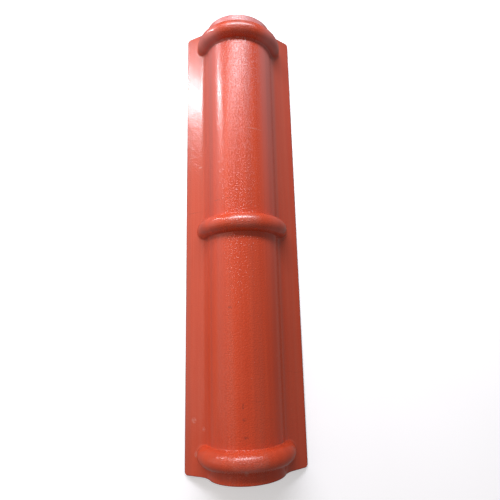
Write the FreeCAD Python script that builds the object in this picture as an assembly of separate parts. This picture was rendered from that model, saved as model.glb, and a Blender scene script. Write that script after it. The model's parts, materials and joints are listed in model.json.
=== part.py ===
"""Ribbed PVC ridge cap for a pitched sheet roof, formed from one sheet of even thickness.

A half-round barrel runs along Y between two flat wings that slope down onto the roof sheets.
Hollow half-round ribs cross the barrel: one near each end, where the next cap laps over, and one
in the middle. Each rib runs down onto the wings and ends there in a rounded nose.

The outer and the inner face are each the top of a solid core. The inner core is the outer one
moved in by the thickness of the sheet, so that the cap is the outer core less the inner one.

Units are millimetres. X is across the cap, Y along the ridge and Z up. The origin is the middle of
the cap in plan, at the level of the surface that the wings' outer edges rest on.
"""

import FreeCAD, Part
import math
import os

# The sheet
LENGTH = 1050.0
WIDTH = 264.0
THICKNESS = 3.0
CORNER_RADIUS = 7.0  # of the wings' corners, in plan

# The cross-section, on the outer face
WING_SLOPE = 33.0  # degrees below the horizontal
BARREL_RADIUS = 82.0
BARREL_DROP = 64.3  # from the line where the wings' planes would meet, down to the barrel's axis
FOOT_RADIUS = 46.0  # of the hollow bend from wing to barrel

# The ribs, on the outer face
RIB_COUNT = 3
RIB_SETBACK = 43.0  # from the cap's end to the middle of the nearest rib
RIB_HEIGHT = 23.0  # above the barrel
RIB_CROWN_RADIUS = 20.0
RIB_FOOT_RADIUS = 3.0  # of the hollow bend where a rib meets the barrel and the wings

OVERRUN = 20.0  # how far the cores run on past the cap's edges, before it is trimmed

slope = math.radians(WING_SLOPE)
half_width = WIDTH / 2
half_length = LENGTH / 2
axis_height = half_width * math.tan(slope) + THICKNESS / math.cos(slope) - BARREL_DROP
rib_crest_radius = BARREL_RADIUS + RIB_HEIGHT
rib_spacing = (LENGTH - 2 * RIB_SETBACK) / (RIB_COUNT - 1)
rib_places = [RIB_SETBACK - half_length + rib * rib_spacing for rib in range(RIB_COUNT)]

along = FreeCAD.Vector(0, 1, 0)
barrel_axis = FreeCAD.Vector(0, 0, axis_height)
wing_fall = FreeCAD.Vector(math.cos(slope), 0, -math.sin(slope))  # down the right wing
wing_normal = FreeCAD.Vector(math.sin(slope), 0, math.cos(slope))  # up from the right wing
resting_edge = FreeCAD.Vector(half_width, 0, 0)


def mirrored(point):
    return FreeCAD.Vector(-point.x, point.y, point.z)


def foot_centre():
    """Centre of the right foot bend: a foot radius above the wing and outside the barrel."""
    start = resting_edge + wing_normal * (THICKNESS + FOOT_RADIUS) - barrel_axis
    down_wing = start.dot(wing_fall)
    height = start.dot(wing_normal)
    reach = BARREL_RADIUS + FOOT_RADIUS
    return barrel_axis + start + wing_fall * (math.sqrt(reach**2 - height**2) - down_wing)


def plain_core(inset, overrun):
    """Core of the cap without ribs. Its top is the sheet's outer face, moved in by the inset."""
    centre = foot_centre()
    outwards = (centre - barrel_axis).normalize()
    towards_bend = (outwards + wing_normal).normalize()
    crest = barrel_axis + FreeCAD.Vector(0, 0, BARREL_RADIUS - inset)
    barrel_end = barrel_axis + outwards * (BARREL_RADIUS - inset)
    bend_middle = centre - towards_bend * (FOOT_RADIUS + inset)
    bend_end = centre - wing_normal * (FOOT_RADIUS + inset)
    wing_end = resting_edge + wing_normal * (THICKNESS - inset) + wing_fall * overrun
    base = FreeCAD.Vector(wing_end.x, 0, -2 * rib_crest_radius - overrun)
    outline = [
        Part.LineSegment(mirrored(base), mirrored(wing_end)),
        Part.LineSegment(mirrored(wing_end), mirrored(bend_end)),
        Part.Arc(mirrored(bend_end), mirrored(bend_middle), mirrored(barrel_end)),
        Part.Arc(mirrored(barrel_end), crest, barrel_end),
        Part.Arc(barrel_end, bend_middle, bend_end),
        Part.LineSegment(bend_end, wing_end),
        Part.LineSegment(wing_end, base),
        Part.LineSegment(base, mirrored(base)),
    ]
    section = Part.Face(Part.Wire([piece.toShape() for piece in outline]))
    section.translate(along * -(half_length + overrun))
    return section.extrude(along * (LENGTH + 2 * overrun))


def rib_ring(place, inset):
    """Ring about the barrel's axis. All of it but the rib lies inside the core, seams included."""
    centre = barrel_axis + along * place
    ring_radius = rib_crest_radius - RIB_CROWN_RADIUS
    ring = Part.makeTorus(ring_radius, RIB_CROWN_RADIUS - inset, centre, along, -180, 180)
    ring.rotate(centre, along, 180)
    return ring


def rib_feet(core):
    """Edges where a rib's round face meets the barrel, the foot bends or the wings."""
    feet = []
    for edge in core.Edges:
        faces = core.ancestorsOfType(edge, Part.Face)
        on_ribs = [isinstance(face.Surface, Part.Toroid) for face in faces]
        if any(on_ribs) and not all(on_ribs):
            feet.append(edge)
    return feet


def ribbed_core(inset, overrun):
    """Core whose top is the whole ribbed face, with the foot of every rib rounded."""
    rings = [rib_ring(place, inset) for place in rib_places]
    core = plain_core(inset, overrun).multiFuse(rings)
    return core.makeFillet(RIB_FOOT_RADIUS + inset, rib_feet(core))


def trimmed_blank():
    """Upright block with the cap's outline in plan, its four corners rounded."""
    top = axis_height + rib_crest_radius + OVERRUN
    corner = FreeCAD.Vector(-half_width, -half_length, -OVERRUN)
    blank = Part.makeBox(WIDTH, LENGTH, top + OVERRUN, corner)
    upright = [edge for edge in blank.Edges if edge.BoundBox.ZLength > OVERRUN]
    return blank.makeFillet(CORNER_RADIUS, upright)


def ridge_cap():
    outer = ribbed_core(0, OVERRUN)
    inner = ribbed_core(THICKNESS, 2 * OVERRUN)
    return outer.cut(inner).common(trimmed_blank()).Solids[0]


os.makedirs("parts", exist_ok=True)
cap = ridge_cap()
cap.exportStep("parts/ridge_cap.step")
size = cap.optimalBoundingBox()
print(f"Ridge cap {size.XLength:.1f} x {size.YLength:.1f} x {size.ZLength:.1f} mm")
print(f"Sheet of {cap.Volume / 1000:.1f} cubic centimetres")
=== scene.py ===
"""Looks of the ribbed ridge cap: its formed sheet, the grained skin and the stage it lies on.

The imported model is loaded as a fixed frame. The sheet is drawn again as a finer mesh of the same
shape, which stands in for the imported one. Lengths are in metres, X is across the cap, Y along the
ridge and Z up.
"""

import json
import math

import bmesh
import bpy
import numpy as np
from mathutils import Matrix, Vector, noise


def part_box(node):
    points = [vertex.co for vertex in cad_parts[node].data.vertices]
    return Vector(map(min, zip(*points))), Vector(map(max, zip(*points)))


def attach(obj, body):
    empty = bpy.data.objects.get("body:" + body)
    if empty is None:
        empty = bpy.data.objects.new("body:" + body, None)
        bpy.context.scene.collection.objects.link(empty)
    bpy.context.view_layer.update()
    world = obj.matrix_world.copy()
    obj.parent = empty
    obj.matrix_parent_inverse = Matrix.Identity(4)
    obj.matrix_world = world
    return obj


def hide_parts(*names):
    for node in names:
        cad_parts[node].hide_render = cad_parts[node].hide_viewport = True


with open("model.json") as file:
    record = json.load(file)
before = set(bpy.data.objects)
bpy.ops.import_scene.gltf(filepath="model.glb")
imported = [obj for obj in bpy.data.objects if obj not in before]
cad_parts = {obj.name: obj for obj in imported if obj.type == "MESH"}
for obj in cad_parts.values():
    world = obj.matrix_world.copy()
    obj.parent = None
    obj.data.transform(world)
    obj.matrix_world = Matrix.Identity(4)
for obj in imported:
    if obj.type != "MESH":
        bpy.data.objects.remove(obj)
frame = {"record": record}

bl_info = {
    "name": "Ridge cap",
    "version": (1, 0, 0),
    "blender": (4, 5, 0),
    "location": "View3D > Sidebar > Ridge cap",
    "description": "Builds a ribbed plastic ridge cap and the stage it lies on",
    "category": "Object",
}

NODE = "ridge_cap"
BODY = "root"
MM = 0.001

CAD_LOW, CAD_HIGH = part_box(NODE)
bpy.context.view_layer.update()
MOUNTS = {mount["name"]: mount for mount in frame["record"]["mounts"]}
WING_DOWN = Vector(MOUNTS["right_wing_underside"]["axis"])
WING_SLOPE = math.atan2(-WING_DOWN.x, -WING_DOWN.z)
NEAR_RIB = Vector(MOUNTS["near_lap"]["pos_m"])
FAR_RIB = Vector(MOUNTS["far_lap"]["pos_m"])
AXIS_HEIGHT = NEAR_RIB.z
RIB_PLACES = [NEAR_RIB.y, (NEAR_RIB.y + FAR_RIB.y) / 2, FAR_RIB.y]
RIB_CREST_RADIUS = CAD_HIGH.z - AXIS_HEIGHT
HALF_WIDTH = (CAD_HIGH.x - CAD_LOW.x) / 2
HALF_LENGTH = (CAD_HIGH.y - CAD_LOW.y) / 2


# ---------------------------------------------------------------- what a user would change


class SheetSizes(bpy.types.PropertyGroup):
    """Sizes of the sheet that the frame's box and mounts don't give."""

    thickness: bpy.props.FloatProperty(
        name="Thickness", description="Thickness of the sheet",
        default=3 * MM, min=1 * MM, unit="LENGTH",
    )
    barrel_radius: bpy.props.FloatProperty(
        name="Barrel radius", description="Outer radius of the barrel",
        default=82 * MM, unit="LENGTH",
    )
    bend_radius: bpy.props.FloatProperty(
        name="Bend radius", description="Outer radius of the hollow bend from wing to barrel",
        default=46 * MM, unit="LENGTH",
    )
    crown_radius: bpy.props.FloatProperty(
        name="Rib crown radius", description="Outer radius of a rib's round section",
        default=20 * MM, unit="LENGTH",
    )
    rib_foot_radius: bpy.props.FloatProperty(
        name="Rib foot radius", description="Outer radius of the hollow bend at a rib's foot",
        default=3 * MM, unit="LENGTH",
    )
    corner_radius: bpy.props.FloatProperty(
        name="Corner radius", description="Radius of the wings' corners in plan",
        default=7 * MM, unit="LENGTH",
    )
    edge_rounding: bpy.props.FloatProperty(
        name="Edge rounding", description="Width of the worn arris along the cut edges",
        default=0.3 * MM, unit="LENGTH",
    )
    waviness: bpy.props.FloatProperty(
        name="Waviness", description="How far the formed sheet strays from its true shape",
        default=0.15 * MM, unit="LENGTH",
    )


class SheetFinish(bpy.types.PropertyGroup):
    """Colours and grain of the sheet."""

    skin_colour: bpy.props.FloatVectorProperty(
        name="Skin colour", description="Colour of the glossy outer skin",
        subtype="COLOR", size=3, min=0, max=1, default=(0.58, 0.058, 0.018),
    )
    streak_colour: bpy.props.FloatVectorProperty(
        name="Streak colour", description="Colour of the faint streaks along the skin",
        subtype="COLOR", size=3, min=0, max=1, default=(0.68, 0.082, 0.028),
    )
    # Also paints the highlight on the rib tops
    scuff_and_highlight_colour: bpy.props.FloatVectorProperty(
        name="Scuff colour", description="Colour of rubbed and dusty marks",
        subtype="COLOR", size=3, min=0, max=1, default=(0.62, 0.30, 0.24),
    )
    # Paints the glints and the strip of sky reflection near the far end, and the paler cast towards
    # it
    reflection_and_paling_colour: bpy.props.FloatVectorProperty(
        name="Reflection colour", description="Colour of the pinkish specks and haze near the far end",
        subtype="COLOR", size=3, min=0, max=1, default=(0.72, 0.44, 0.46),
    )
    film_colour: bpy.props.FloatVectorProperty(
        name="Film colour", description="Colour of the dull film that settles on the wings",
        subtype="COLOR", size=3, min=0, max=1, default=(0.24, 0.10, 0.075),
    )
    back_colour: bpy.props.FloatVectorProperty(
        name="Back colour", description="Colour of the dull underside and the cut edges",
        subtype="COLOR", size=3, min=0, max=1, default=(0.30, 0.040, 0.020),
    )
    # Also paints shade on the rim beside the cut edges
    grime_and_edge_shade_colour: bpy.props.FloatVectorProperty(
        name="Rim colour", description="Colour of the shaded rim beside the cut edges",
        subtype="COLOR", size=3, min=0, max=1, default=(0.10, 0.025, 0.018),
    )
    grain_size: bpy.props.FloatProperty(
        name="Grain size", description="Width of one pebble of the embossed grain",
        default=4.2 * MM, unit="LENGTH",
    )
    grain_depth: bpy.props.FloatProperty(
        name="Grain depth", description="Height of the embossed grain",
        default=0.22 * MM, unit="LENGTH",
    )
    gloss: bpy.props.FloatProperty(
        name="Skin roughness", description="Roughness of the outer skin between its marks",
        subtype="FACTOR", min=0, max=1, default=0.11,
    )


class StageSettings(bpy.types.PropertyGroup):
    """The floor, the lights and the room."""

    floor_colour: bpy.props.FloatVectorProperty(
        name="Floor colour", description="Colour of the pale floor",
        subtype="COLOR", size=3, min=0, max=1, default=(0.90, 0.90, 0.91),
    )
    floor_glow: bpy.props.FloatProperty(
        name="Floor glow", description="Light given off by the floor, which keeps it pale all over",
        min=0, default=0.42,
    )
    sky_power: bpy.props.FloatProperty(
        name="Far panel power", description="Power of the long panel past the far end",
        unit="POWER", default=13.2,
    )
    fill_power: bpy.props.FloatProperty(
        name="Fill power", description="Power of the wide dim panel at the left",
        unit="POWER", default=19.0,
    )
    window_power: bpy.props.FloatProperty(
        name="Window power", description="Power of the small bright panel at the far left",
        unit="POWER", default=12.5,
    )
    room_strength: bpy.props.FloatProperty(
        name="Room strength", description="Strength of the even light from all round",
        min=0, default=0.24,
    )


# ---------------------------------------------------------------- the shape of the sheet

# How finely the sheet is divided
BARREL_STEPS = 24  # from the crest to one bend
BEND_STEPS = 15
NOSE_STEPS = 11  # on a wing, under and just past the ribs' noses
NOSE_SHARE = 0.46  # of a wing's width
RIM_SHARES = (0.56, 0.67, 0.79, 0.90, 0.966, 1.0)  # of a wing's width, out to its edge
CROWN_STEPS = 14  # from a rib's crest to its foot
FOOT_STEPS = 6
BAY_STEPS = 44  # from one rib's foot to the next
END_STEPS = 3  # from an end rib's foot to the start of the wings' corners
CORNER_STEPS = 5
HALVINGS = 26  # of the search for the ribbed face

TALLEST_RIB = 34 * MM  # nothing on the cap stands further out from the plain section
ARRIS_ANGLE = 55  # degrees; only the arrises of the cut edges are sharper

# The formed sheet's unevenness: noise cells to a metre across and along, then the noise's slice
BROAD_WAVE = (11, 7, 3.1)
FINE_WAVE = (34, 19, 8.7)
FINE_WAVE_SHARE = 0.35
EDGE_FADE = 8  # it fades out over the outermost eighth of each half of the cap


class Section:
    """Right half of the cap's plain section, for the outer face or for the inner one.

    Points are (x, z) pairs. The inset is the depth below the outer face.
    """

    def __init__(self, sizes, inset):
        self.axis = np.array([0.0, AXIS_HEIGHT])
        self.barrel = sizes.barrel_radius - inset
        self.bend = sizes.bend_radius + inset
        self.crown = sizes.crown_radius - inset
        self.rib_foot = sizes.rib_foot_radius + inset
        self.ring = RIB_CREST_RADIUS - sizes.crown_radius
        self.fall = np.array([math.cos(WING_SLOPE), -math.sin(WING_SLOPE)])
        self.normal = np.array([math.sin(WING_SLOPE), math.cos(WING_SLOPE)])
        rise = (sizes.thickness - inset) / self.normal[1]
        self.wing_edge = np.array([HALF_WIDTH, rise])
        self.bend_centre = self.find_bend_centre()
        outwards = self.bend_centre - self.axis
        outwards = outwards / np.linalg.norm(outwards)
        self.barrel_turn = math.atan2(outwards[0], outwards[1])
        self.bend_end = self.bend_centre - self.normal * self.bend

    def find_bend_centre(self):
        """The bend's centre: a bend radius above the wing's plane and outside the barrel."""
        start = self.wing_edge + self.normal * self.bend - self.axis
        height = start @ self.normal
        reach = self.barrel + self.bend
        return self.axis + self.normal * height + self.fall * math.sqrt(reach**2 - height**2)

    def plain_gap(self, x, z):
        """Height above the plain section, measured square to it."""
        across = np.abs(x)
        barrel_gap = np.hypot(across, z - AXIS_HEIGHT) - self.barrel
        past_centre = across - self.bend_centre[0]
        above_centre = z - self.bend_centre[1]
        bend_gap = self.bend - np.hypot(past_centre, above_centre)
        past_edge = across - self.wing_edge[0]
        above_edge = z - self.wing_edge[1]
        wing_gap = past_edge * self.normal[0] + above_edge * self.normal[1]
        past_bend = past_centre * self.fall[0] + above_centre * self.fall[1]
        foot_gap = np.where(past_bend > 0, wing_gap, bend_gap)
        turn = np.arctan2(across, z - AXIS_HEIGHT)
        return np.where(turn < self.barrel_turn, barrel_gap, foot_gap)

    def ribbed_gap(self, x, y, z):
        """Height above the ribbed face, with every rib's foot rounded."""
        ring_gap = np.full_like(x, np.inf)
        for place in RIB_PLACES:
            from_ring = np.hypot(np.hypot(x, z - AXIS_HEIGHT) - self.ring, y - place) - self.crown
            ring_gap = np.minimum(ring_gap, from_ring)
        plain = self.plain_gap(x, z)
        short_of_plain = np.maximum(self.rib_foot - plain, 0)
        short_of_ring = np.maximum(self.rib_foot - ring_gap, 0)
        hollow = np.hypot(short_of_plain, short_of_ring)
        return np.maximum(np.minimum(plain, ring_gap), self.rib_foot) - hollow

    def rib_offsets(self):
        """Places along Y from a rib's middle to the end of its foot, evenly round its section."""
        rise = self.barrel + self.rib_foot - self.ring
        foot = math.sqrt((self.crown + self.rib_foot) ** 2 - rise**2)
        turn = math.atan2(foot, rise)
        crown_turns = [turn * k / CROWN_STEPS for k in range(CROWN_STEPS + 1)]
        foot_turns = [turn * (1 - k / FOOT_STEPS) for k in range(1, FOOT_STEPS + 1)]
        crown = [self.crown * math.sin(angle) for angle in crown_turns]
        hollow = [foot - self.rib_foot * math.sin(angle) for angle in foot_turns]
        return crown + hollow


def column_places():
    """(part, share of that part) for each column from the crest out to the wing's edge."""
    barrel = [("barrel", k / BARREL_STEPS) for k in range(BARREL_STEPS + 1)]
    bend = [("bend", k / BEND_STEPS) for k in range(1, BEND_STEPS + 1)]
    nose = [("wing", NOSE_SHARE * k / NOSE_STEPS) for k in range(1, NOSE_STEPS + 1)]
    rim = [("wing", share) for share in RIM_SHARES]
    return barrel + bend + nose + rim


def row_places(section, sizes):
    """Places of the rows along Y, from the near end to the far end."""
    offsets = section.rib_offsets()
    rows = []
    for place in RIB_PLACES:
        rows += [place - offset for offset in offsets]
        rows += [place + offset for offset in offsets[1:]]
    for low, high in zip(RIB_PLACES, RIB_PLACES[1:]):
        first = low + offsets[-1]
        last = high - offsets[-1]
        rows += [first + (last - first) * k / BAY_STEPS for k in range(1, BAY_STEPS)]
    foot = RIB_PLACES[-1] + offsets[-1]
    corner = HALF_LENGTH - sizes.corner_radius
    turns = [math.pi / 2 * k / CORNER_STEPS for k in range(1, CORNER_STEPS + 1)]
    ends = [foot + (corner - foot) * k / END_STEPS for k in range(1, END_STEPS + 1)]
    ends += [corner + sizes.corner_radius * math.sin(turn) for turn in turns]
    return np.array(sorted(rows + ends + [-place for place in ends]))


def wing_reach(rows, sizes):
    """How far from the middle a wing reaches at each row, with its corners rounded in plan."""
    past = np.clip(np.abs(rows) - (HALF_LENGTH - sizes.corner_radius), 0, sizes.corner_radius)
    return HALF_WIDTH - sizes.corner_radius + np.sqrt(sizes.corner_radius**2 - past**2)


def column_base(section, sizes, part, share, reach):
    """A column's points on the plain section, the way out from it, and its unrolled places."""
    barrel_span = section.barrel_turn * sizes.barrel_radius
    if part == "wing":
        x = section.bend_end[0] + (reach - section.bend_end[0]) * share
        down = (x - section.bend_end[0])[:, None] / section.fall[0]
        start = section.bend_end + section.fall * down
        bend_span = (section.barrel_turn - WING_SLOPE) * sizes.bend_radius
        return start, section.normal, barrel_span + down[:, 0] + bend_span
    if part == "barrel":
        turn = section.barrel_turn * share
        way = np.array([math.sin(turn), math.cos(turn)])
        start = section.axis + way * section.barrel
        span = turn * sizes.barrel_radius
    else:
        turn = section.barrel_turn + (WING_SLOPE - section.barrel_turn) * share
        way = np.array([math.sin(turn), math.cos(turn)])
        start = section.bend_centre - way * section.bend
        span = barrel_span + (section.barrel_turn - turn) * sizes.bend_radius
    return np.tile(start, (len(reach), 1)), way, np.full(len(reach), span)


def face_points(sizes, inset):
    """Points of the outer or the inner face by column and row, and their unrolled places.

    An unrolled place is the distance from the crest over the sheet, the place along Y, and 1 on the
    outer face or 0 on the inner one.
    """
    section = Section(sizes, inset)
    rows = row_places(section, sizes)
    reach = wing_reach(rows, sizes)
    starts = []
    ways = []
    spans = []
    for part, share in column_places():
        start, way, span = column_base(section, sizes, part, share, reach)
        starts.append(start)
        ways.append(np.tile(way, (len(rows), 1)))
        spans.append(span)
    starts = np.array(starts)
    ways = np.array(ways)
    spans = np.array(spans)
    heights = rib_heights(section, starts, ways, rows)
    from_edge = (HALF_WIDTH - starts[..., 0]) / HALF_WIDTH
    heights += sizes.waviness * wander(spans, rows, from_edge)
    points = starts + ways * heights[..., None]
    along = np.broadcast_to(rows, heights.shape)
    outer = np.full_like(spans, 1.0 if inset == 0 else 0.0)
    right = np.stack([points[..., 0], along, points[..., 1]], axis=-1)
    unrolled = np.stack([spans, along, outer], axis=-1)
    flip = np.array([-1.0, 1.0, 1.0])
    return (
        np.concatenate([right[:0:-1] * flip, right]),
        np.concatenate([unrolled[:0:-1] * flip, unrolled]),
    )


def rib_heights(section, starts, ways, rows):
    """How far along its way each point is from the plain section to the ribbed face."""
    low = np.zeros(starts.shape[:2])
    high = np.full(starts.shape[:2], TALLEST_RIB)
    along = np.broadcast_to(rows, low.shape)
    for _ in range(HALVINGS):
        middle = (low + high) / 2
        at = starts + ways * middle[..., None]
        outside = section.ribbed_gap(at[..., 0], along, at[..., 1]) > 0
        high = np.where(outside, middle, high)
        low = np.where(outside, low, middle)
    return high


def wave(cells, span, place):
    """Smooth noise, from -1 to 1, at an unrolled place."""
    across, along, third = cells
    return noise.noise(Vector((span * across, place * along, third)))


def wander(spans, rows, from_edge):
    """Slow unevenness of the formed sheet, about -1 to 1, fading out at the wings' edges."""
    waves = np.zeros(spans.shape)
    for (column, row), span in np.ndenumerate(spans):
        broad = wave(BROAD_WAVE, span, rows[row])
        waves[column, row] = broad + FINE_WAVE_SHARE * wave(FINE_WAVE, span, rows[row])
    return waves * np.clip(from_edge * EDGE_FADE, 0, 1)


def sheet_mesh(sizes):
    """Closed mesh of the whole sheet: outer face, inner face and the cut edges between them."""
    outer, outer_unrolled = face_points(sizes, 0.0)
    inner, inner_unrolled = face_points(sizes, sizes.thickness)
    columns, rows = outer.shape[:2]
    top = np.arange(columns * rows).reshape(columns, rows)
    under = top + columns * rows

    def quads(a, b, c, d):
        return np.stack([a.ravel(), b.ravel(), c.ravel(), d.ravel()], axis=-1)

    faces = np.concatenate([
        quads(top[:-1, :-1], top[1:, :-1], top[1:, 1:], top[:-1, 1:]),
        quads(under[:-1, :-1], under[:-1, 1:], under[1:, 1:], under[1:, :-1]),
        quads(top[0, :-1], top[0, 1:], under[0, 1:], under[0, :-1]),
        quads(top[-1, 1:], top[-1, :-1], under[-1, :-1], under[-1, 1:]),
        quads(top[1:, 0], top[:-1, 0], under[:-1, 0], under[1:, 0]),
        quads(top[:-1, -1], top[1:, -1], under[1:, -1], under[:-1, -1]),
    ])
    points = np.concatenate([outer.reshape(-1, 3), inner.reshape(-1, 3)])
    unrolled = np.concatenate([outer_unrolled.reshape(-1, 3), inner_unrolled.reshape(-1, 3)])
    mesh = bpy.data.meshes.new("formed_sheet")
    mesh.from_pydata(points.tolist(), [], faces.tolist())
    attribute = mesh.attributes.new("unrolled", "FLOAT_VECTOR", "POINT")
    attribute.data.foreach_set("vector", unrolled.ravel())
    mesh.shade_smooth()
    return mesh


# ---------------------------------------------------------------- the finish of the sheet

OVAL_CORE = 0.35  # share of a mark's half size that is at full strength


class Signal:
    """A shader socket that takes part in Python sums. Each sum adds a Math node."""

    def __init__(self, tree, socket=None):
        self.tree = tree
        self.socket = socket

    def node(self, kind, settings=None, inputs=None, output=0):
        """Adds a node, sets it up, then fills its sockets with values or links."""
        made = self.tree.nodes.new(kind)
        for name, value in (settings or {}).items():
            setattr(made, name, value)
        for name, value in (inputs or {}).items():
            if isinstance(value, Signal):
                self.tree.links.new(value.socket, made.inputs[name])
            else:
                made.inputs[name].default_value = value
        return Signal(self.tree, None if output is None else made.outputs[output])

    def maths(self, operation, *others):
        inputs = dict(enumerate((self, *others)))
        return self.node("ShaderNodeMath", {"operation": operation}, inputs)

    def __add__(self, other):
        return self.maths("ADD", other)

    def __sub__(self, other):
        return self.maths("SUBTRACT", other)

    def __rsub__(self, other):
        return self.maths("MULTIPLY_ADD", -1.0, other)

    def __mul__(self, other):
        return self.maths("MULTIPLY", other)

    __radd__ = __add__
    __rmul__ = __mul__

    def step(self, low, high):
        """0 below low and 1 above high, with a smooth rise between them."""
        inputs = {"Value": self, "From Min": low, "From Max": high}
        return self.node("ShaderNodeMapRange", {"interpolation_type": "SMOOTHSTEP"}, inputs)

    def between(self, first, second):
        """The colour that goes from the first to the second as this goes from 0 to 1."""
        inputs = {0: self, 6: first, 7: second}
        return self.node("ShaderNodeMix", {"data_type": "RGBA"}, inputs, 2)

    def stretched(self, scale):
        """The vector times a scale along each of its own directions."""
        return self.node("ShaderNodeVectorMath", {"operation": "MULTIPLY"}, {0: self, 1: scale})

    def parts(self):
        """The vector's three parts."""
        split = self.node("ShaderNodeSeparateXYZ", {}, {0: self}).socket.node
        return [Signal(self.tree, socket) for socket in split.outputs]

    def noise(self, scale, detail=2.0, roughness=0.5):
        inputs = {"Vector": self, "Scale": scale, "Detail": detail, "Roughness": roughness}
        return self.node("ShaderNodeTexNoise", {}, inputs)

    def blotches(self, scale, detail, roughness, low, high):
        """Noise that is 0 where it is below low and 1 where it is above high."""
        return self.noise(scale, detail, roughness).step(low, high)

    def length(self, scale, shift):
        """Length of the vector, once it is stretched and then shifted."""
        inputs = {0: self, 1: scale, 2: shift}
        moved = self.node("ShaderNodeVectorMath", {"operation": "MULTIPLY_ADD"}, inputs)
        return moved.node("ShaderNodeVectorMath", {"operation": "LENGTH"}, {0: moved}, "Value")

    def oval(self, middle, half_size):
        """1 in the middle of an oval seen from above, fading to 0 at its rim."""
        scale = [1 / half for half in half_size]
        shift = [-at * by for at, by in zip(middle, scale)]
        return 1 - self.length((*scale, 0), (*shift, 0)).step(OVAL_CORE, 1.0)


# Scale, detail and roughness of each noise, then where its blotches begin and where they are full
STREAKS = (1.0, 4.0, 0.7, 0.35, 0.70)
BANDS = (1.0, 2.0, 0.5, 0.45, 0.68)
CLOUDS = (7.0, 3.0, 0.6, 0.3, 0.7)
DUST = (55.0, 4.0, 0.65, 0.62, 0.80)
# Glints of sky reflection, painted on the crown near the far end
PAINTED_GLINTS = (290.0, 1.0, 0.5, 0.53, 0.60)
# Noise that breaks up the highlight painted on the rib tops
TOP_HIGHLIGHT_BREAKUP = (190.0, 2.0, 0.6, 0.40, 0.62)
SCRATCHES = (1.0, 1.0, 0.5, 0.68, 0.75)
SCRATCHED_PATCHES = (8.0, 1.0, 0.5, 0.55, 0.70)
WEAR = (330.0, 2.0, 0.7, 0.38, 0.55)

# Cells to a metre of the stretched noises, across and along the unrolled sheet
STREAK_CELLS = (75, 1.3, 1)
BAND_CELLS = (31, 0.5, 1)
SCRATCH_CELLS = (16, 300, 1)

# Cells of the embossed grain to a grain size, and how the pebbles rise
PEBBLE_CELLS = 1.6
FINE_GRAIN_CELLS = 4.0
FINE_GRAIN_SHARE = 0.5
PEBBLE_RISE = (0.38, 0.62)

# Where the zones of the skin begin and end
FACE_CHANGE = (0.4, 0.6)  # of the way over a cut edge, from the inner face to the outer one
WING_ZONE = (100 * MM, 135 * MM)  # from the crest, over the sheet
CROWN_ZONE = (32 * MM, 66 * MM)  # from the crest, over the sheet
# The strip beyond the far rib gets a painted reflection of the sky, within the next two zones
FAR_STRIP_ZONE = (50 * MM, 85 * MM)  # from the crest, over the sheet
FAR_STRIP_END_ZONE = (28 * MM, 18 * MM)  # from the far end
RIB_ZONE = (1 * MM, 4 * MM)  # above the barrel
RIB_TOP_ZONE = (10 * MM, 1 * MM)  # below the ribs' crests
# The rim beside the cut edges gets painted shade
RIM_ZONE = (0.6 * MM, 2.0 * MM)  # from the cut edges
# Where the painted glints of sky reflection lie
PAINTED_GLINT_ZONE = (200 * MM, 420 * MM)  # along Y
# The skin grows paler towards the far end over this zone
PALING_ZONE = (-300 * MM, 700 * MM)  # along Y; it isn't full anywhere on the sheet

# How much each layer covers what lies under it
STREAK_COVER = 0.60
CLOUD_COVER = 0.20
FILM_COVER = 0.10
STREAKY_FILM_COVER = 0.10
BAND_COVER = 0.16
PEBBLE_COVER = 0.08
# Painted glints, the painted reflection on the far strip, and the paling towards the far end
PAINTED_GLINT_COVER = 0.22
STRIP_REFLECTION_COVER = 0.44
PALING_COVER = 0.30
DUST_COVER = 0.06
# Cover of the highlight painted on the rib tops
TOP_HIGHLIGHT_COVER = 0.10
PALE_MARK_COVER = 0.40
SCRATCH_COVER = 0.22
DARK_MARK_COVER = 0.44
# Painted shade on the rim beside the cut edges
RIM_COVER = 0.6

# Share of the paling towards the far end that the wings and the crown are spared
PALING_OFF_WINGS = 0.75
PALING_OFF_CROWN = 0.95

# What the grain and the marks add to the skin's roughness
HOLLOW_DULLNESS = 0.12
CROWN_HOLLOW_DULLNESS = 0.06
PALE_DULLNESS = 0.30
GRIME_DULLNESS = 0.20
BACK_DULLNESS = 0.30

# How deep the grain is on each part, as a share of its full depth
SKIN_RELIEF = 0.25
CROWN_RELIEF = 0.55
RIB_TOP_RELIEF = 0.80
BACK_RELIEF = 0.10

RIB_TOP_COAT = {"Coat Roughness": 0.32, "Coat IOR": 1.6}

# Marks of use on the outer skin: the middle of each in plan, then its half sizes, in millimetres.
PALE_MARKS = (
    ((28, 225), (24, 2.2)),
    ((-118, 190), (12, 2.4)),
    ((-98, 160), (7, 3.0)),
    ((-112, -415), (7, 8)),
    ((-90, -431), (4, 6)),
    ((-107, -482), (5, 8)),
    ((-5, -500), (6, 10)),
)
DARK_MARKS = (
    ((-57, 58), (9, 2.2)),
    ((-30, 58), (10, 2.0)),
    ((-31, -183), (8, 3.0)),
    ((-9, -380), (2.6, 10)),
    ((-7, -405), (6, 4)),
    ((-4, -438), (7, 5)),
    ((-2, 486), (7, 3.4)),
)


def opaque(colour):
    return (*colour, 1.0)


def marks_of_use(place, marks):
    """Above 0 in the marks, broken up by a fine noise."""
    ovals = []
    for middle, half_size in marks:
        ovals.append(place.oval([at * MM for at in middle], [half * MM for half in half_size]))
    return sum(ovals) * place.blotches(*WEAR)


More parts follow.
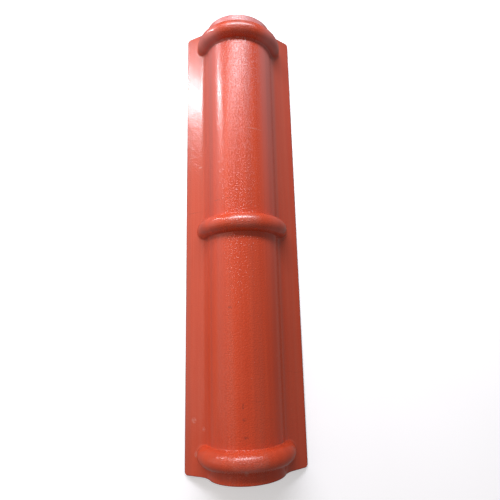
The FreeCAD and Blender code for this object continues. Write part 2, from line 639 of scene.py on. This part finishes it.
def skin_material(sizes, finish):
    """Glossy embossed skin outside and a dull back inside, with the marks of weather and use, a
    paler cast towards the far end, and painted light: glints and a strip of sky reflection near the
    far end, a highlight on the rib tops and shade on the rim beside the cut edges.
    """
    material = bpy.data.materials.new("grained_skin")
    material.use_nodes = True
    tree = material.node_tree
    tree.nodes.clear()
    start = Signal(tree)
    place = start.node("ShaderNodeTexCoord", output="Object")
    unrolled = start.node("ShaderNodeAttribute", {"attribute_name": "unrolled"}, output="Vector")
    skin = opaque(finish.skin_colour)
    streak = opaque(finish.streak_colour)

    x, y, z = place.parts()
    across, _, face = unrolled.parts()
    outside = face.step(*FACE_CHANGE)
    from_crest = across.maths("ABSOLUTE")
    on_wing = from_crest.step(*WING_ZONE)
    on_crown = 1 - from_crest.step(*CROWN_ZONE)
    from_axis = place.length((1, 0, 1), (0, 0, -AXIS_HEIGHT))
    on_rib = from_axis.step(*[sizes.barrel_radius + height for height in RIB_ZONE])
    rib_top = z.step(*[CAD_HIGH.z - depth for depth in RIB_TOP_ZONE])

    # Streaks and clouds of colour, and a dull film
    streaks = unrolled.stretched(STREAK_CELLS).blotches(*STREAKS)
    bands = unrolled.stretched(BAND_CELLS).blotches(*BANDS)
    clouds = place.blotches(*CLOUDS)
    colour = (streaks * STREAK_COVER + clouds * CLOUD_COVER).between(skin, streak)
    film = on_wing * (streaks * STREAKY_FILM_COVER + FILM_COVER) + bands * BAND_COVER
    colour = film.between(colour, opaque(finish.film_colour))

    # Embossed grain
    pebbles = place.noise(PEBBLE_CELLS / finish.grain_size, 0.0).step(*PEBBLE_RISE)
    fine_grain = place.noise(FINE_GRAIN_CELLS / finish.grain_size, 1.0)
    grain = pebbles + fine_grain * FINE_GRAIN_SHARE
    colour = (pebbles * on_crown * PEBBLE_COVER).between(colour, streak)

    # Painted sky reflection: speckled glints on the crown near the far end and a pale strip beyond
    # the far rib; then a paler cast that grows towards the far end
    painted_glints = place.blotches(*PAINTED_GLINTS) * on_crown * y.step(*PAINTED_GLINT_ZONE)
    beyond_rib = y.step(*[HALF_LENGTH - inset for inset in FAR_STRIP_END_ZONE])
    painted_strip_reflection = (1 - from_crest.step(*FAR_STRIP_ZONE)) * beyond_rib
    paling = y.step(*PALING_ZONE) * (1 - on_wing * PALING_OFF_WINGS) * (1 - on_crown * PALING_OFF_CROWN)
    reflection_and_paling = (painted_glints * PAINTED_GLINT_COVER + painted_strip_reflection * STRIP_REFLECTION_COVER) * (1 - on_rib) + paling * PALING_COVER
    colour = reflection_and_paling.between(colour, opaque(finish.reflection_and_paling_colour))

    # Dust, pale marks, and a highlight painted in pale colour on the rib tops
    # Painted highlight: the rib tops are made paler, broken up by noise
    painted_highlight = rib_top * place.blotches(*TOP_HIGHLIGHT_BREAKUP)
    pale_marks = marks_of_use(place, PALE_MARKS)
    pale = place.blotches(*DUST) * DUST_COVER + painted_highlight * TOP_HIGHLIGHT_COVER
    pale = pale + pale_marks * PALE_MARK_COVER
    colour = pale.between(colour, opaque(finish.scuff_and_highlight_colour))

    # Scratches and dark marks
    scratches = unrolled.stretched(SCRATCH_CELLS).blotches(*SCRATCHES)
    scratches = scratches * place.blotches(*SCRATCHED_PATCHES)
    grime = scratches * SCRATCH_COVER + marks_of_use(place, DARK_MARKS) * DARK_MARK_COVER
    colour = grime.between(colour, opaque(finish.grime_and_edge_shade_colour))

    # The back, and painted shade on the rim beside the cut edges
    colour = outside.between(opaque(finish.back_colour), colour)
    from_side = HALF_WIDTH - x.maths("ABSOLUTE")
    from_end = HALF_LENGTH - y.maths("ABSOLUTE")
    rim = 1 - from_side.maths("MINIMUM", from_end).step(*RIM_ZONE)
    colour = (rim * RIM_COVER).between(colour, opaque(finish.grime_and_edge_shade_colour))

    dull = (1 - pebbles) * (on_crown * CROWN_HOLLOW_DULLNESS + HOLLOW_DULLNESS)
    roughness = finish.gloss + dull + pale * PALE_DULLNESS + grime * GRIME_DULLNESS
    roughness = roughness + (1 - outside) * BACK_DULLNESS
    skin_relief = on_crown * CROWN_RELIEF + rib_top * RIB_TOP_RELIEF + SKIN_RELIEF
    relief = grain * (outside * skin_relief + BACK_RELIEF)
    inputs = {"Strength": 1.0, "Distance": finish.grain_depth, "Height": relief}
    bump = start.node("ShaderNodeBump", {}, inputs)
    inputs = {"Base Color": colour, "Roughness": roughness, "Normal": bump}
    inputs |= {"Coat Weight": rib_top * outside, **RIB_TOP_COAT}
    shader = start.node("ShaderNodeBsdfPrincipled", {}, inputs)
    start.node("ShaderNodeOutputMaterial", {}, {"Surface": shader}, None)
    return material


# ---------------------------------------------------------------- the stage

CAMERA_PLACE = Vector((-34.8, -255.2, 1009.7)) * MM
CAMERA_VIEW = Vector((0.1032, 0.2165, -0.9708))
CAMERA_UP = Vector((0.0133, 0.9756, 0.2190))
SENSOR = 36.0  # millimetres across
LENS = 30.96  # millimetres
LENS_SHIFT = (-0.0449, -0.0086)  # of the frame's width
NEAREST_SEEN = 10 * MM
FLOOR_GAP = 0.3 * MM  # below the resting edges
FLOOR_RADIUS = 3.0
FLOOR_ROUGHNESS = 0.6
SWEEP_RADIUS = 1.5  # of the curve from the floor up to the backdrop
SWEEP_STEPS = 16
BACKDROP_HEIGHT = 5.0
TURN_STEPS = 96
COOL_WHITE = (0.94, 0.93, 1.0)
WARM_WHITE = (1.0, 0.84, 0.74)
ROOM_WHITE = (1.0, 0.97, 0.95)

# The soft lamps, in metres. Each spread is in degrees.
SKY = {
    "place": (-0.19, 1.450, 1.393),
    "target": (0, 0.12, 0.05),
    "size": (2.6, 0.45),
    "spread": 80,
}
WINDOW = {
    "place": (-1.74, 1.41, 0.53),
    "target": (-0.12, 0.345, 0),
    "size": (0.224, 0.42),
    "spread": 180,
}
FILL = {
    "place": (-2.0, 0.60, 1.10),
    "target": (0, 0.25, 0.05),
    "size": (3.0, 2.6),
    "spread": 180,
}


def plain_material(name, colour, roughness):
    material = bpy.data.materials.new(name)
    material.use_nodes = True
    shader = material.node_tree.nodes["Principled BSDF"]
    shader.inputs["Base Color"].default_value = opaque(colour)
    shader.inputs["Roughness"].default_value = roughness
    return material


def add_floor(settings):
    """A round floor that curves up into a backdrop.

    Only the camera sees it, so it gives the cap neither bounce light nor reflections.
    """
    profile = [(0.0, 0.0), (FLOOR_RADIUS, 0.0)]
    for k in range(1, SWEEP_STEPS + 1):
        turn = math.pi / 2 * k / SWEEP_STEPS
        reach = FLOOR_RADIUS + SWEEP_RADIUS * math.sin(turn)
        profile.append((reach, SWEEP_RADIUS * (1 - math.cos(turn))))
    profile.append((FLOOR_RADIUS + SWEEP_RADIUS, BACKDROP_HEIGHT))
    sweep = bmesh.new()
    ring = [sweep.verts.new((reach, 0, height - FLOOR_GAP)) for reach, height in profile]
    edges = [sweep.edges.new(pair) for pair in zip(ring, ring[1:])]
    bmesh.ops.spin(sweep, geom=ring + edges, axis=(0, 0, 1), angle=2 * math.pi, steps=TURN_STEPS)
    bmesh.ops.remove_doubles(sweep, verts=sweep.verts, dist=0.1 * MM)
    mesh = bpy.data.meshes.new("floor")
    sweep.to_mesh(mesh)
    sweep.free()
    mesh.shade_smooth()
    paint = plain_material("floor_paint", settings.floor_colour, FLOOR_ROUGHNESS)
    shader = paint.node_tree.nodes["Principled BSDF"]
    shader.inputs["Emission Color"].default_value = opaque(settings.floor_colour)
    shader.inputs["Emission Strength"].default_value = settings.floor_glow
    mesh.materials.append(paint)
    floor = bpy.data.objects.new("floor", mesh)
    floor.visible_diffuse = False
    floor.visible_glossy = False
    floor.visible_shadow = False
    bpy.context.scene.collection.objects.link(floor)


def add_panel(name, place, target, size, spread, power, colour):
    """A soft rectangular lamp at a place, facing a target."""
    lamp = bpy.data.lights.new(name, "AREA")
    lamp.shape = "RECTANGLE"
    lamp.size, lamp.size_y = size
    lamp.spread = math.radians(spread)
    lamp.energy = power
    lamp.color = colour
    panel = bpy.data.objects.new(name, lamp)
    panel.location = place
    facing = Vector(target) - Vector(place)
    panel.rotation_euler = facing.to_track_quat("-Z", "Y").to_euler()
    panel.visible_camera = False
    bpy.context.scene.collection.objects.link(panel)


def add_camera():
    """The camera, about a metre above the near half and looking almost straight down."""
    lens = bpy.data.cameras.new("camera")
    lens.sensor_width = SENSOR
    lens.lens = LENS
    lens.shift_x, lens.shift_y = LENS_SHIFT
    lens.clip_start = NEAREST_SEEN
    camera = bpy.data.objects.new("camera", lens)
    back = -CAMERA_VIEW.normalized()
    right = CAMERA_UP.cross(back).normalized()
    up = back.cross(right)
    turn = Matrix((right, up, back)).transposed().to_4x4()
    camera.matrix_world = Matrix.Translation(CAMERA_PLACE) @ turn
    bpy.context.scene.collection.objects.link(camera)
    bpy.context.scene.camera = camera


def light_room(strength):
    """Even light from all round."""
    world = bpy.data.worlds.new("room")
    world.use_nodes = True
    background = world.node_tree.nodes["Background"]
    background.inputs["Color"].default_value = opaque(ROOM_WHITE)
    background.inputs["Strength"].default_value = strength
    bpy.context.scene.world = world


# ---------------------------------------------------------------- the add-on


class RIDGECAP_OT_sheet(bpy.types.Operator):
    """Build the formed sheet with its grained skin"""

    bl_idname = "ridgecap.sheet"
    bl_label = "Formed sheet"

    def execute(self, context):
        sizes = context.scene.ridgecap_sizes
        mesh = sheet_mesh(sizes)
        mesh.materials.append(skin_material(sizes, context.scene.ridgecap_finish))
        sheet = bpy.data.objects.new("formed_sheet", mesh)
        context.scene.collection.objects.link(sheet)
        arris = sheet.modifiers.new("worn_arris", "BEVEL")
        arris.width = sizes.edge_rounding
        arris.segments = 2
        arris.limit_method = "ANGLE"
        arris.angle_limit = math.radians(ARRIS_ANGLE)
        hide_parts(NODE)
        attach(sheet, BODY)
        return {"FINISHED"}


class RIDGECAP_OT_stage(bpy.types.Operator):
    """Build the pale floor, the soft lamps and the camera"""

    bl_idname = "ridgecap.stage"
    bl_label = "Stage"

    def execute(self, context):
        settings = context.scene.ridgecap_stage
        add_floor(settings)
        add_panel("sky", **SKY, power=settings.sky_power, colour=COOL_WHITE)
        add_panel("window", **WINDOW, power=settings.window_power, colour=COOL_WHITE)
        add_panel("fill", **FILL, power=settings.fill_power, colour=WARM_WHITE)
        light_room(settings.room_strength)
        add_camera()
        context.scene.view_settings.view_transform = "Standard"
        return {"FINISHED"}


class RIDGECAP_PT_panel(bpy.types.Panel):
    """Buttons and settings of the ridge cap"""

    bl_idname = "RIDGECAP_PT_panel"
    bl_label = "Ridge cap"
    bl_space_type = "VIEW_3D"
    bl_region_type = "UI"
    bl_category = "Ridge cap"

    def draw(self, context):
        for operator in (RIDGECAP_OT_sheet, RIDGECAP_OT_stage):
            self.layout.operator(operator.bl_idname)
        for group_name in GROUPS:
            group = getattr(context.scene, group_name)
            box = self.layout.box()
            for name in group.__annotations__:
                box.prop(group, name)


GROUPS = {
    "ridgecap_sizes": SheetSizes,
    "ridgecap_finish": SheetFinish,
    "ridgecap_stage": StageSettings,
}
CLASSES = (*GROUPS.values(), RIDGECAP_OT_sheet, RIDGECAP_OT_stage, RIDGECAP_PT_panel)


def register():
    for one in CLASSES:
        bpy.utils.register_class(one)
    for name, group in GROUPS.items():
        setattr(bpy.types.Scene, name, bpy.props.PointerProperty(type=group))


def unregister():
    for name in GROUPS:
        delattr(bpy.types.Scene, name)
    for one in reversed(CLASSES):
        bpy.utils.unregister_class(one)


def main():
    register()
    bpy.ops.ridgecap.sheet()
    bpy.ops.ridgecap.stage()


if __name__ == "__main__":
    main()
